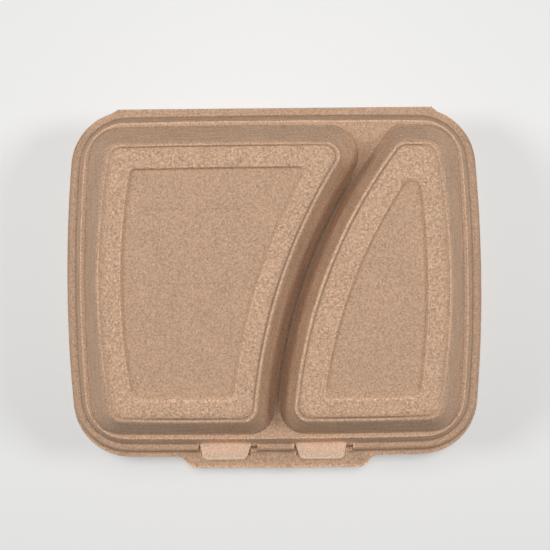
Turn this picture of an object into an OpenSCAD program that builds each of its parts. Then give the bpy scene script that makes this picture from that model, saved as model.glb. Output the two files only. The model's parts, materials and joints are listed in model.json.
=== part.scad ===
// Hinged take-away meal box with two compartments, formed in one piece from
// a foamed sheet. The lid and the base are two shells of that one sheet and
// fold together along the back edge. Heights in the sections below are
// measured from the parting plane, where the two rims meet.

/* [Sheet] */
// Thickness of the foamed sheet
sheet_t = 2.2; // [1.8:0.1:2.5]
// Air left between the closed lid and the base
nest_gap = 0.45; // [0.35:0.05:0.6]

/* [Overall] */
// Half of the width, at the middle of the bowed sides
rim_half_w = 120; // [116:1:126]
// Front edge of the rim, from the rim's centre
rim_front = 101; // [98:1:106]
// Hinge edge of the rim, from the rim's centre
rim_back = 101.15; // [98:0.05:106]
// Height of the lid's standing rings above the parting plane
lid_h = 34; // [30:0.5:40]
// Depth of the base below the parting plane
base_h = 36; // [34:0.5:45]
// Radius of the rim's corners
rim_corner_r = 33; // [28:1:38]
// Bow radius of the rim's two sides
side_bow_r = 800; // [600:50:1200]
// Bow radius of the front and hinge edges, nearly straight
end_bow_r = 6000; // [4000:500:9000]

/* [Rim section] */
// Flat flange outside the bead, along the front
front_flange_w = 3; // [2.4:0.1:3.6]
// Flat flange outside the bead, along the sides
side_flange_w = 0.6; // [0.5:0.1:1.2]
// How far the straight strip along the hinge stands out from the rim's outline
strip_d = 0.8; // [0.5:0.1:1.2]
// Flat flange along the hinge, where the rim has no bead
hinge_flange_w = 5.6; // [4.5:0.1:7]
// Width of the raised bead
bead_w = 5.2; // [4.4:0.1:6]
// Height of the bead's crown
bead_h = 6; // [5:0.1:7]
// Run of the step from the bead up to the plateau
step_run = 4.4; // [3.8:0.1:5]
// Height of the plateau around the compartments
plateau_h = 11.8; // [10.5:0.1:13]
// Width of the plateau around the lid's compartments
plateau_w = 2.4; // [2:0.1:3]
// Width of the plateau around the base's compartments
base_plateau_w = 4.2; // [3.8:0.1:5]

/* [Compartments] */
// Run of the lid's walls, along the front
front_wall_run = 10.9; // [9:0.1:12]
// Run of the lid's walls, along the sides
side_wall_run = 11.6; // [9:0.1:12.5]
// Run of the lid's walls, along the hinge
hinge_wall_run = 13.2; // [11:0.1:14]
// Run of the lid's walls, along the valley
valley_wall_run = 10.2; // [9:0.1:11.5]
// Run of the small compartment's steeper wall, along the valley
small_valley_run = 8; // [6.5:0.1:9.5]
// Extra run of the base's deeper walls
base_extra_run = 1.5; // [0:0.1:2.5]
// Ledge at the foot of the standing ring
ledge_w = 1.5; // [1.2:0.1:2]
// Height that the standing ring rises from its ledge
ring_rise = 1.7; // [1.2:0.1:2.2]
// Width of the standing ring, ledge included
ring_w = 13.4; // [12:0.1:14.5]
// Depth of the panel inside the ring
panel_depth = 1.8; // [1.2:0.1:2.2]
// Corner radius at the foot of a compartment's wall, inside the rim's corners
foot_corner_r = 17.5; // [17:0.5:20]
// Corner radius at the foot of a compartment's wall, beside the valley
valley_corner_r = 15; // [12:0.5:17]
// Corner radius of the ledge
ledge_corner_r = 7; // [6:0.5:9]
// Corner radius of the sunk panel
panel_corner_r = 4.5; // [3.5:0.5:5.5]
// Bow radius of a compartment's outer side at the ledge
panel_bow_r = 400; // [350:10:500]

/* [Valley] */
// Centre of the curved valley between the compartments, from the rim's centre
valley_centre = [285, -95];
// Radius of the valley's centre line
valley_r = 285; // [282:0.5:288]
// Width of the valley's floor in the lid
valley_w = 3; // [2.6:0.1:3.6]

/* [Latch] */
// Distance of each slot from the middle
slot_x = 27.5; // [25:0.5:29]
// Length of a slot
slot_w = 34; // [33.5:0.5:36]
// Width of a tongue where it leaves the base
tongue_root_w = 30; // [28:0.5:31]
// Width of a tongue at its tip
tongue_tip_w = 24.5; // [22:0.5:26]
// Height of a tongue's tip above the parting plane
tongue_h = 14.4; // [12:0.1:16]
// How far a tongue leans out over its height
tongue_lean = 6.4; // [5.8:0.1:6.6]
// Sideways play of the tongues, which sit a little off the slots' middles
tongue_shift = -1.5; // [-1.6:0.1:0]
// Clearance around a tongue that passes the slot
tongue_gap = 0.7; // [0.5:0.1:0.9]

/* [Finger lip] */
// How far the finger lip stands out from the front edge
lip_d = 6.7; // [5:0.1:8]
// Half length of the lip's straight edge
lip_half = 48; // [46.5:0.5:50]
// Run of the curve at each end of the lip
lip_end = 8.5; // [7:0.5:10]
// How far the lip sits off the middle
lip_shift = 1; // [0:0.5:2]

/* [Hidden] */
kraft = [0.76, 0.62, 0.51];

// The parting plane lies base_h above the surface that the box stands on,
// and the frame's origin is the middle of the closed box, at its foot.
frame_y = (rim_front + lip_d - rim_back) / 2;
corner_steps = 10;
rim_side_steps = 8;
round_steps = 5;
side_steps = 7;
valley_steps = 16;

// Small helpers for points, arcs and mixes
function unit(v) = v / norm(v);
function mix(a, b, f) = a + (b - a) * f;
function ramp(x, a, b) = let (f = max(0, min(1, (x - a) / (b - a)))) f * f * (3 - 2 * f);
function last(v) = v[len(v) - 1];
function turn(v, n) = [for (i = [0:len(v) - 1]) v[(i + n) % len(v)]];
function total(v, i = 0) = i == len(v) - 1 ? v[i] : v[i] + total(v, i + 1);
function sorted(v) = len(v) < 2 ? v : let (m = v[0]) concat(
    sorted([for (x = v) if (x < m) x]),
    [m],
    sorted([for (x = v) if (x > m) x])
);

// A side of an outline is a circle's arc: [centre, radius, sense], with the
// sense 1 where the outline bulges and -1 where it is hollow. Sides run
// counterclockwise from the front: front, right, hinge, left.
function front_side(y) = [[0, end_bow_r - y], end_bow_r, 1];
function hinge_side(y) = [[0, y - end_bow_r], end_bow_r, 1];
function right_side(x, r) = [[x - r, 0], r, 1];
function left_side(x, r) = [[r - x, 0], r, 1];
function crossings(p, r, q, s) =
    let (
        d = norm(q - p),
        a = (d * d + r * r - s * s) / (2 * d),
        h = sqrt(max(0, r * r - a * a)),
        u = (q - p) / d
    )
    [for (k = [-1, 1]) p + a * u + k * h * [-u[1], u[0]]];
// Middle of the corner circle of radius r that touches sides a and b
function corner_middle(a, b, r, hint) =
    let (c = crossings(a[0], a[1] - a[2] * r, b[0], b[1] - b[2] * r))
    norm(c[0] - hint) < norm(c[1] - hint) ? c[0] : c[1];
function foot_on(side, p) = side[0] + side[1] * unit(p - side[0]);
function short_way(a) = a - 360 * floor((a + 180) / 360);
function arc(c, p, q, fractions) =
    let (
        a = atan2(p[1] - c[1], p[0] - c[0]),
        sweep = short_way(atan2(q[1] - c[1], q[0] - c[0]) - a)
    )
    [for (f = fractions) c + norm(p - c) * [cos(a + f * sweep), sin(a + f * sweep)]];
function even(n) = [for (i = [1:n - 1]) i / n];
function whole(n) = [for (i = [0:n]) i / n];

// Closed outline of four sides with rounded corners. Where the hinge side
// has no length left, its two corners melt into one round tip.
function outline(sides, r, hints) =
    let (
        mids = [for (i = [0:3]) corner_middle(sides[i], sides[(i + 1) % 4], r[i], hints[i])],
        tip = mids[1][0] < mids[2][0] + 0.2,
        peak = corner_middle(sides[1], sides[3], r[1], (hints[1] + hints[2]) / 2)
    )
    concat(
        side_points(sides[0], mids[3], mids[0], side_steps),
        corner_points(sides[0], sides[1], mids[0], round_steps),
        side_points(sides[1], mids[0], tip ? peak : mids[1], side_steps),
        tip ? arc(peak, foot_on(sides[1], peak), foot_on(sides[3], peak),
            whole(2 * round_steps + side_steps))
        : concat(
            corner_points(sides[1], sides[2], mids[1], round_steps),
            side_points(sides[2], mids[1], mids[2], side_steps),
            corner_points(sides[2], sides[3], mids[2], round_steps)
        ),
        side_points(sides[3], tip ? peak : mids[2], mids[3], side_steps),
        corner_points(sides[3], sides[0], mids[3], round_steps)
    );
function side_points(side, from, to, steps) =
    arc(side[0], foot_on(side, from), foot_on(side, to), even(steps));
function corner_points(a, b, mid, steps) =
    arc(mid, foot_on(a, mid), foot_on(b, mid), whole(steps));

// The rim's outline has its points along the front and the hinge at set
// places, so that the slots, the lip and the hinge strip have true edges.
function rim_outline(front, side, hinge, r) =
    let (
        sides = [
            front_side(rim_front - front), right_side(rim_half_w - side, side_bow_r - side),
            hinge_side(rim_back - hinge), left_side(rim_half_w - side, side_bow_r - side)
        ],
        mids = [for (i = [0:3]) corner_middle(sides[i], sides[(i + 1) % 4], r, rim_hints[i])]
    )
    concat(
        [for (x = front_stops) on_front(sides[0], x)],
        corner_points(sides[0], sides[1], mids[0], corner_steps),
        side_points(sides[1], mids[0], mids[1], rim_side_steps),
        corner_points(sides[1], sides[2], mids[1], corner_steps),
        [for (x = hinge_stops) on_hinge(sides[2], x)],
        corner_points(sides[2], sides[3], mids[2], corner_steps),
        side_points(sides[3], mids[2], mids[3], rim_side_steps),
        corner_points(sides[3], sides[0], mids[3], corner_steps)
    );
function on_front(s, x) = [x, s[0][1] - sqrt(s[1] * s[1] - (x - s[0][0]) * (x - s[0][0]))];
function on_hinge(s, x) = [x, s[0][1] + sqrt(s[1] * s[1] - (x - s[0][0]) * (x - s[0][0]))];
rim_hints = [
    [rim_half_w, -rim_front], [rim_half_w, rim_back],
    [-rim_half_w, rim_back], [-rim_half_w, -rim_front]
];

// Places along the front: slot edges, the narrower relief for each tongue,
// the lip's ends, and points between
relief_half = (tongue_root_w + tongue_tip_w) / 4 + tongue_gap;
tongue_xs = [for (s = [-1, 1]) s * slot_x + tongue_shift];
slot_edges = [for (s = [-1, 1], e = [-1, 1]) s * slot_x + e * slot_w / 2];
relief_edges = [for (x = tongue_xs, e = [-1, 1]) x + e * relief_half];
root_edges = [for (x = tongue_xs, e = [-1, 1]) x + e * tongue_root_w / 2];
lip_stops = [for (s = [-1, 1], f = [0:0.25:1]) lip_shift + s * (lip_half + f * lip_end)];
front_stops = sorted(concat(
    slot_edges, relief_edges, root_edges, lip_stops,
    [for (x = tongue_xs, f = [-0.7, -0.35, 0, 0.35, 0.7]) x + f * relief_half],
    [-76, -66, -5, 0, 5, 66, 76]
));
// The valley meets the hinge side's plateau here
valley_top_x = valley_x(rim_back - hinge_flange_w - step_run);
hinge_stops = [76, valley_top_x, 60, 45, 30, 15, 0, -15, -30, -45, -60, -76];
function valley_x(y) = valley_centre[0]
    - sqrt(valley_r * valley_r - (y - valley_centre[1]) * (y - valley_centre[1]));

// Rim sections, from the edge inwards: [distance from the edge, height]
flange_z = nest_gap / 2 + sheet_t;
relief_edge = 0.2;
function beaded(flange) = [
    [0, flange_z], [min(relief_edge, flange * 0.5), flange_z], [flange, flange_z],
    [flange + 0.18 * bead_w, mix(flange_z, bead_h, 0.55)],
    [flange + 0.45 * bead_w, mix(flange_z, bead_h, 0.9)],
    [flange + 0.76 * bead_w, mix(flange_z, bead_h, 0.99)],
    [flange + bead_w, bead_h],
    [flange + bead_w + 0.16 * step_run, mix(bead_h, plateau_h, 0.1)],
    [flange + bead_w + 0.85 * step_run, mix(bead_h, plateau_h, 0.93)],
    [flange + bead_w + step_run, plateau_h]
];
// Along the hinge the flange stays flat up to the step
flat = [
    each [for (f = [0, 0.12, 0.26, 0.4, 0.54, 0.68, 0.85]) [mix(strip_d, hinge_flange_w, f), flange_z]],
    [hinge_flange_w, mix(flange_z, plateau_h, 0.06)],
    [hinge_flange_w + 0.85 * step_run, mix(flange_z, plateau_h, 0.94)],
    [hinge_flange_w + step_run, plateau_h]
];
// The other face of the sheet: the section moved by t at right angles. The
// sense 1 goes below a section that climbs inwards, -1 above one that falls.
function shifted(s, t, sense = 1) = in_order([
    for (i = [0:len(s) - 1])
        let (
            a = i > 0 ? unit(s[i] - s[i - 1]) : [1, 0],
            b = i < len(s) - 1 ? unit(s[i + 1] - s[i]) : [1, 0],
            m = sense * [a[1] + b[1], -a[0] - b[0]] / (1 + a * b)
        )
        s[i] + t * m
]);
// Keeps each point of a section a little further in than the one before
function in_order(s, i = 0, least = -1) =
    i == len(s) ? []
    : let (x = max(s[i][0], least + 0.12)) concat([[x, s[i][1]]], in_order(s, i + 1, x));

// One face of the rim, as rows of points. The bead fades out towards the hinge.
function rim_rows(t) =
    let (
        f = shifted(beaded(front_flange_w), t),
        s = shifted(beaded(side_flange_w), t),
        h = shifted(flat, t),
        edge = rim_outline(0, 0, strip_d, rim_corner_r)
    )
    concat([[for (p = outer_row(edge)) [p[0], p[1], f[0][1]]]], [
        for (k = [0:len(f) - 1])
            let (
                d = [max(0, f[k][0]), max(0, s[k][0]), max(strip_d, h[k][0])],
                ring = rim_outline(d[0], d[1], d[2], rim_corner_r - min(d[0], d[1]))
            )
            [for (i = [0:len(ring) - 1])
                [ring[i][0], ring[i][1],
                min(last(s)[1], mix(s[k][1], h[k][1], ramp(edge[i][1], 0.6 * rim_back, 0.96 * rim_back)))]]
    ]);
// The row outside the edge: the finger lip in front, and the straight strip
// along the hinge, which ends in a small step at each corner
function outer_row(edge) = [
    for (p = edge)
        p[1] < 0
        ? [p[0], p[1] - lip_d * (1 - ramp(abs(p[0] - lip_shift), lip_half, lip_half + 1.08 * lip_end))]
        : [p[0], max(p[1], in_strip(p) ? rim_back : p[1])]
];
strip_half = rim_half_w - rim_corner_r - 3 + rim_corner_r * sin(18.5);
function in_strip(p) = abs(p[0]) < strip_half && p[1] > 0.9 * rim_back;

// Sections of the lid's compartments, from the foot of the wall to the panel
ledge_z = lid_h - ring_rise;
function lid_section(run, ring = ring_w) = [
    [0, plateau_h],
    [0.1 * run, mix(plateau_h, ledge_z, 0.08)],
    [0.5 * run, mix(plateau_h, ledge_z, 0.5)],
    [0.94 * run, mix(plateau_h, ledge_z, 0.96)],
    [run, ledge_z],
    [run + ledge_w, ledge_z],
    [run + ledge_w + 1.1, mix(ledge_z, lid_h, 0.6)],
    [run + ledge_w + 2.6, mix(ledge_z, lid_h, 0.92)],
    [run + ledge_w + 4.2, lid_h],
    [run + ring - 1.6, lid_h],
    [run + ring - 0.6, mix(lid_h, lid_h - panel_depth, 0.3)],
    [run + ring + 1, lid_h - panel_depth]
];
// The base's underside, from the plateau down to the panel it stands around
base_top = plateau_h - 2 * sheet_t - nest_gap;
base_ledge_z = ring_rise - base_h;
function base_section(run, ring = ring_w) = [
    [0, base_top],
    [0.06 * run, mix(base_top, base_ledge_z, 0.04)],
    [0.5 * run, mix(base_top, base_ledge_z, 0.5)],
    [0.92 * run, mix(base_top, base_ledge_z, 0.96)],
    [run, base_ledge_z],
    [run + ledge_w, base_ledge_z],
    [run + ledge_w + 1.1, mix(base_ledge_z, -base_h, 0.6)],
    [run + ledge_w + 2.6, mix(base_ledge_z, -base_h, 0.92)],
    [run + ledge_w + 4.2, -base_h],
    [run + ring - 1.6, -base_h],
    [run + ring - 0.6, mix(-base_h, panel_depth - base_h, 0.3)],
    [run + ring + 1, panel_depth - base_h]
];

// Compartment outlines at one row of the sections. small says which of the
// two compartments it is, and half the valley's floor at the foot.
function foot_y_front(w) = rim_front - front_flange_w - bead_w - step_run - w;
function foot_x(w) = rim_half_w - side_flange_w - bead_w - step_run - w;
function foot_y_hinge(w) = rim_back - hinge_flange_w - step_run - w;
function compartment_ring(small, w, half, d, progress) =
    let (
        bow = mix(side_bow_r, panel_bow_r, min(1, progress)),
        front = front_side(foot_y_front(w) - d[0]),
        hinge = hinge_side(foot_y_hinge(w) - d[2]),
        valley = [valley_centre, valley_r + (small ? -1 : 1) * (half + d[3]), small ? 1 : -1],
        tight = mix(ledge_corner_r, panel_corner_r, max(0, min(1, progress - 1))),
        outer = progress < 1 ? mix(foot_corner_r, ledge_corner_r, progress) : tight,
        r = progress < 1 ? mix(valley_corner_r, ledge_corner_r, progress) : tight
    )
    small
    ? outline(
        [front, right_side(foot_x(w) - d[1], bow), hinge, valley],
        [outer, outer, min(r, 9), r],
        [[rim_half_w, -rim_front], [rim_half_w, rim_back], [valley_top_x, rim_back], [0, -rim_front]])
    : outline(
        [front, valley, hinge, left_side(foot_x(w) - d[1], bow)],
        [r, outer, outer, outer],
        [[0, -rim_front], [valley_top_x, rim_back], rim_hints[2], rim_hints[3]]);
// One face of a compartment, as rows of points. kinds are the sections along
// the front, side, hinge and valley.
function compartment_rows(small, w, half, kinds) = [
    for (k = [0:len(kinds[0]) - 1])
        let (
            d = [for (s = kinds) s[k][0]],
            progress = k < 5 ? k / 4 : 1 + (k - 4) / 7
        )
        [for (p = compartment_ring(small, w, half, d, progress)) [p[0], p[1], kinds[0][k][1]]]
];
function wall_runs(extra) = [
    front_wall_run + extra, side_wall_run + extra, hinge_wall_run + extra, valley_wall_run + extra
];
// The small compartment's panel stays where it is, so its ring is wider there
small_valley_ring = ring_w + valley_wall_run - small_valley_run;

// Faces between two rows of equal length, seen from above as counterclockwise
function band(a, b, n) = [
    for (i = [0:n - 1])
        let (j = (i + 1) % n)
        each [[a + i, a + j, b + j], [a + i, b + j, b + i]]
];
// Faces between two open chains of different lengths on one flat face
function stitch(p, a, b, i = 0, j = 0) =
    i == len(a) - 1 && j == len(b) - 1 ? []
    : j == len(b) - 1
        || (i < len(a) - 1 && norm(p[a[i + 1]] - p[b[j]]) < norm(p[a[i]] - p[b[j + 1]]))
    ? concat([[a[i], a[i + 1], b[j]]], stitch(p, a, b, i + 1, j))
    : concat([[a[i], b[j + 1], b[j]]], stitch(p, a, b, i, j + 1));
// Index of the point of the chain that lies nearest to q
function nearest(p, chain, q) =
    let (d = [for (i = chain) norm([p[i][0], p[i][1]] - q)], m = min(d))
    [for (k = [0:len(d) - 1]) if (d[k] == m) k][0];

// One whole face of the shell: its points, and its faces seen from above.
// keep(row, column) is false where the rim has a slot or no lip.
function flat_list(rows) = [for (r = rows) each r];
function skin_points(rim, large, small, valley) = concat(
    flat_list(rim), flat_list(large), flat_list(small), valley,
    [middle(last(large)), middle(last(small))]
);
function middle(ring) = total(ring) / len(ring);
rim_n = len(rim_outline(0, 0, strip_d, rim_corner_r));
rim_k = len(flat) + 1;
comp_n = 4 * (side_steps - 1) + 4 * (round_steps + 1);
comp_k = len(lid_section(1));
large_at = rim_n * rim_k;
small_at = large_at + comp_n * comp_k;
valley_at = small_at + comp_n * comp_k;
middle_at = valley_at + valley_steps - 1;
skin_n = middle_at + 2;
front_split = search(0, front_stops)[0];
hinge_split = len(front_stops) + 2 * (corner_steps + 1) + rim_side_steps;

function valley_line(rim_row, z) =
    arc(valley_centre,
        [rim_row[front_split][0], rim_row[front_split][1]],
        [rim_row[hinge_split][0], rim_row[hinge_split][1]], even(valley_steps));
function valley_points(rim_row, z) = [for (p = valley_line(rim_row, z)) [p[0], p[1], z]];

function plateau_faces(p) =
    let (
        rim = [for (i = [0:rim_n - 1]) rim_n * (rim_k - 1) + i],
        line = [for (i = [0:valley_steps - 2]) valley_at + i],
        back = [for (i = [valley_steps - 2:-1:0]) valley_at + i],
        right = concat([for (i = [front_split:hinge_split]) rim[i]], back, [rim[front_split]]),
        left = concat([for (i = [hinge_split:rim_n + front_split]) rim[i % rim_n]], line,
            [rim[hinge_split]]),
        s0 = [for (i = [0:comp_n - 1]) small_at + i],
        l0 = [for (i = [0:comp_n - 1]) large_at + i],
        q = [p[rim[front_split]][0], p[rim[front_split]][1]],
        h = [p[rim[hinge_split]][0], p[rim[hinge_split]][1]],
        s1 = turn(s0, nearest(p, s0, q)),
        l1 = turn(l0, nearest(p, l0, h))
    )
    concat(stitch(p, right, concat(s1, [s1[0]])), stitch(p, left, concat(l1, [l1[0]])));
function rim_faces(keep) = [
    for (k = [0:rim_k - 2], i = [0:rim_n - 1])
        if (keep[k][i])
            let (j = (i + 1) % rim_n, a = rim_n * k, b = a + rim_n)
            each [[a + i, a + j, b + j], [a + i, b + j, b + i]]
];
function compartment_faces(at, mid) = concat(
    [for (k = [0:comp_k - 2]) each band(at + comp_n * k, at + comp_n * (k + 1), comp_n)],
    [for (i = [0:comp_n - 1])
        let (a = at + comp_n * (comp_k - 1))
        [a + i, a + (i + 1) % comp_n, mid]]
);
// Walls of the sheet's thickness, where a rim cell has no neighbour
function edge_faces(keep) = [
    for (k = [0:rim_k - 2], i = [0:rim_n - 1])
        if (keep[k][i])
            let (
                j = (i + 1) % rim_n,
                before = (i + rim_n - 1) % rim_n,
                a = rim_n * k,
                b = a + rim_n
            )
            each concat(
                k == 0 || !keep[k - 1][i] ? wall(a + j, a + i) : [],
                k < rim_k - 2 && !keep[k + 1][i] ? wall(b + i, b + j) : [],
                !keep[k][before] ? wall(a + i, b + i) : [],
                !keep[k][j] ? wall(b + j, a + j) : []
            )
];
function wall(a, b) = [[a, b, b + skin_n], [a, b + skin_n, a + skin_n]];
function under(faces) = [for (f = faces) [f[0] + skin_n, f[2] + skin_n, f[1] + skin_n]];
function reversed(faces) = [for (f = faces) [f[0], f[2], f[1]]];

// Which cells of the rim are sheet: the outer row only where the lip and the
// hinge strip stand out, and none where a slot or its relief is cut
function between(x, a, b) = x > a && x < b;
function rim_cells(edge, slotted) = [
    for (k = [0:rim_k - 2])
        [for (i = [0:rim_n - 1])
            let (
                p = edge[i],
                q = edge[(i + 1) % rim_n],
                x = (p[0] + q[0]) / 2,
                front = p[1] < 0 && q[1] < 0
            )
            k == 0
            ? (front && abs(x - lip_shift) < lip_half + lip_end) || (in_strip(p) && in_strip(q))
            : !(slotted && front && (
                (between(k, 2, 8) && in_slot(x)) || (k == 2 && in_relief(x))
            ))]
];
function in_slot(x) = abs(abs(x) - slot_x) < slot_w / 2;
function in_relief(x) = abs(abs(x - tongue_shift) - slot_x) < relief_half;
function in_root(x) = abs(abs(x - tongue_shift) - slot_x) < tongue_root_w / 2;

// A latch tongue is a flap of the same sheet that leans out from the bead of
// the base. Its rows of points rise from the strip of the bead between the
// rim's rows root_row and root_row + 1, and its tip has round corners.
root_row = 6;
tongue_steps = [0.35, 0.78, 0.9, 0.97, 1];
function tongue_columns(x) = [
    for (i = [0:len(front_stops) - 1])
        if (abs(front_stops[i] - x) < tongue_root_w / 2 + 0.01) i
];
function tongue_half(f) =
    let (
        tip = tongue_tip_w / 2,
        r = 3,
        up = max(0, f * tongue_length - (tongue_length - r)),
        straight = mix(tongue_root_w / 2, tip, f)
    )
    straight - (r - sqrt(max(0, r * r - up * up)));
tongue_root_z = bead_h - sheet_t - nest_gap;
tongue_length = norm([tongue_lean, tongue_h - tongue_root_z]);
function tongue_points(upper, x) =
    let (
        columns = tongue_columns(x),
        a = rim_n * root_row,
        loop = concat(columns, [for (k = [len(columns) - 1:-1:0]) columns[k] + rim_n])
    )
    [for (f = tongue_steps, i = loop)
        let (p = upper[a + i])
        [
            x + (p[0] - x) * tongue_half(f) / (tongue_root_w / 2),
            p[1] - f * tongue_lean,
            mix(p[2], tongue_h, f)
        ]];
function tongue_faces(at, x) =
    let (
        columns = tongue_columns(x),
        m = len(columns),
        a = rim_n * root_row,
        root = concat([for (i = columns) a + i],
            [for (k = [m - 1:-1:0]) a + rim_n + columns[k]]),
        rows = concat([root], [for (k = [0:len(tongue_steps) - 1])
            [for (i = [0:2 * m - 1]) at + 2 * m * k + i]]),
        tip = last(rows)
    )
    concat(
        [for (k = [0:len(rows) - 2], i = [0:2 * m - 1])
            let (j = (i + 1) % (2 * m))
            each [[rows[k][i], rows[k][j], rows[k + 1][j]], [rows[k][i], rows[k + 1][j], rows[k + 1][i]]]],
        [for (i = [0:m - 2])
            let (o = 2 * m - 1 - i)
            each [[tip[i], tip[i + 1], tip[o - 1]], [tip[i], tip[o - 1], tip[o]]]]
    );

// The closed shell between an upper and a lower face. The lid has slots and
// the base has tongues.
module shell(upper, lower, slotted) {
    edge = rim_outline(0, 0, strip_d, rim_corner_r);
    keep = rim_cells(edge, slotted);
    covered = [
        for (k = [0:rim_k - 2])
            [for (i = [0:rim_n - 1])
                let (x = (edge[i][0] + edge[(i + 1) % rim_n][0]) / 2)
                keep[k][i] && !(k == root_row && edge[i][1] < 0 && in_root(x))]
    ];
    cups = concat(
        compartment_faces(large_at, middle_at), compartment_faces(small_at, middle_at + 1)
    );
    flaps = slotted ? [] : [for (x = tongue_xs) tongue_points(upper, x)];
    at = slotted ? [] : [for (n = [0, 1]) 2 * skin_n + n * len(flaps[0])];
    points = concat(upper, lower, [for (f = flaps) each f]);
    faces = concat(
        rim_faces(slotted ? keep : covered), plateau_faces(upper), cups,
        under(concat(rim_faces(keep), plateau_faces(lower), cups)), edge_faces(keep),
        slotted ? [] : [for (n = [0, 1]) each tongue_faces(at[n], tongue_xs[n])]
    );
    polyhedron(points, reversed(faces), 6);
}
function face_of(rim, w, half, kinds) =
    let (z = last(rim)[0][2])
    skin_points(
        rim,
        compartment_rows(false, w, half, kinds),
        compartment_rows(true, w, half, [kinds[0], kinds[1], kinds[2], kinds[4]]),
        valley_points(last(rim), z)
    );

module lid_shell() {
    kinds = [
        each [for (run = wall_runs(0)) lid_section(run)],
        lid_section(small_valley_run, small_valley_ring)
    ];
    inner = [for (s = kinds) shifted(s, sheet_t)];
    shell(
        face_of(rim_rows(0), plateau_w, valley_w / 2, kinds),
        face_of(rim_rows(sheet_t), plateau_w, valley_w / 2, inner),
        true
    );
}
module base_shell() {
    kinds = [
        each [for (run = wall_runs(base_extra_run)) base_section(run)],
        base_section(small_valley_run + base_extra_run, small_valley_ring)
    ];
    inner = [for (s = kinds) shifted(s, sheet_t, -1)];
    half = valley_w / 2 - 0.3;
    shell(
        face_of(rim_rows(sheet_t + nest_gap), base_plateau_w, half, inner),
        face_of(rim_rows(2 * sheet_t + nest_gap), base_plateau_w, half, kinds),
        false
    );
}

module base() {
    color(kraft)
        translate([0, frame_y, base_h])
            base_shell();
}
module lid() {
    color(kraft * 1.03)
        translate([0, frame_y, base_h])
            lid_shell();
}

base();
lid();
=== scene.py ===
# %% [markdown]
# A hinged take-away box of foamed sheet. The maker heats one flat sheet until it is
# soft and presses it between two moulds, so the lid, the base and the fold between
# them are one skin that is about two millimetres thick everywhere. The scene follows
# that: every form here is a line drawn in plan, a section that says how high the
# sheet stands at each distance from that line, and a second face one thickness away.

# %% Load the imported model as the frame
import json
import math

import bmesh
import bpy
import numpy as np
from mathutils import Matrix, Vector


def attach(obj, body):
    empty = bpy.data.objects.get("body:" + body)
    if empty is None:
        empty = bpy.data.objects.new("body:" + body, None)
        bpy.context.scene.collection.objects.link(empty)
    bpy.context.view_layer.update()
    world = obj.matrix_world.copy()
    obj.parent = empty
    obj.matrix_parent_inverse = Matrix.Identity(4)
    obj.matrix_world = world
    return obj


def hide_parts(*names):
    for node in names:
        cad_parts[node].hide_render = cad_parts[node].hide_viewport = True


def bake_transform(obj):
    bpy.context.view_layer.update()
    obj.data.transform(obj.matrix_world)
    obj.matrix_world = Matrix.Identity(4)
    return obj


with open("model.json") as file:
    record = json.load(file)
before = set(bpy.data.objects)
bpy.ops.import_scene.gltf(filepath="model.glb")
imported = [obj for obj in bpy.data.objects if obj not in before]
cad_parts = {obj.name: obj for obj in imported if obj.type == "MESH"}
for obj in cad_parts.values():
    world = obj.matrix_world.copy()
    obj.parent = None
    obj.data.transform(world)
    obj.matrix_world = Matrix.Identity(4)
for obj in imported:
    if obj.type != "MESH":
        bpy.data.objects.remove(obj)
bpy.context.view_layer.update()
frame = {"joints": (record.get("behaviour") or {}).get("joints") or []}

hinge = frame["joints"][0]

# %% [markdown]
# The sizes are in millimetres, measured from the middle of the rim and from the
# parting plane where lid and base meet. A thermoformed part is drawn like this in
# the mould shop too, because both moulds share that plane. They could be read from
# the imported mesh, but a name for each makes the sections below readable.

# %% Sizes of the sheet and its forms
MM = 0.001
PARTING = hinge["pos_m"][2] / MM
MIDDLE_Y = 3.275
SHEET = 2.2
GAP = 0.45
HALF_W, FRONT, BACK = 120.0, 101.0, 101.15
LID_H, BASE_H = 34.0, 36.0
CORNER = 33.0
SIDE_BOW, END_BOW = 800.0, 6000.0
FLANGE_FRONT, FLANGE_SIDE, FLANGE_HINGE = 3.0, 0.6, 5.6
STRIP = 0.8
FOLD_ROOM = 0.62
RELIEF_ROOM = 0.2
BEAD_W, BEAD_H, STEP = 5.2, 6.0, 4.4
PLATEAU = 11.8
VALLEY = np.array([285.0, -95.0])
VALLEY_R = 285.0
LEDGE, RISE, RING, SUNK = 1.5, 1.7, 13.4, 1.8
SLOT_X, SLOT_W = 27.5, 34.0
TONGUE_X = (-29.0, 26.0)
RELIEF = 14.325
LIP, LIP_HALF, LIP_END, LIP_SHIFT = 6.7, 48.0, 9.2, 1.0
FLANGE_Z = GAP / 2 + SHEET
VALLEY_TOP = VALLEY[0] - math.sqrt(VALLEY_R ** 2 - (BACK - FLANGE_HINGE - STEP - VALLEY[1]) ** 2)
print("valley reaches the hinge side at x =", round(VALLEY_TOP, 1), "mm")

# %% [markdown]
# Every edge of the real box is a slightly bowed line that runs into a round corner.
# A curve with handles could draw it, but the rows of one wall must stay the same
# distance apart, and that is easiest with true circle arcs: a side is a circle, and
# a corner is the small circle that touches two sides.

# %% Arcs and outlines
def mix(a, b, f):
    return a + (b - a) * f


def ramp(x, a, b):
    f = np.clip((x - a) / (b - a), 0, 1)
    return f * f * (3 - 2 * f)


def unit(v):
    return v / np.linalg.norm(v)


def front_side(y):
    return np.array([0, END_BOW - y]), END_BOW, 1


def hinge_side(y):
    return np.array([0, y - END_BOW]), END_BOW, 1


def right_side(x, bow):
    return np.array([x - bow, 0]), bow, 1


def left_side(x, bow):
    return np.array([bow - x, 0]), bow, 1


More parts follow.
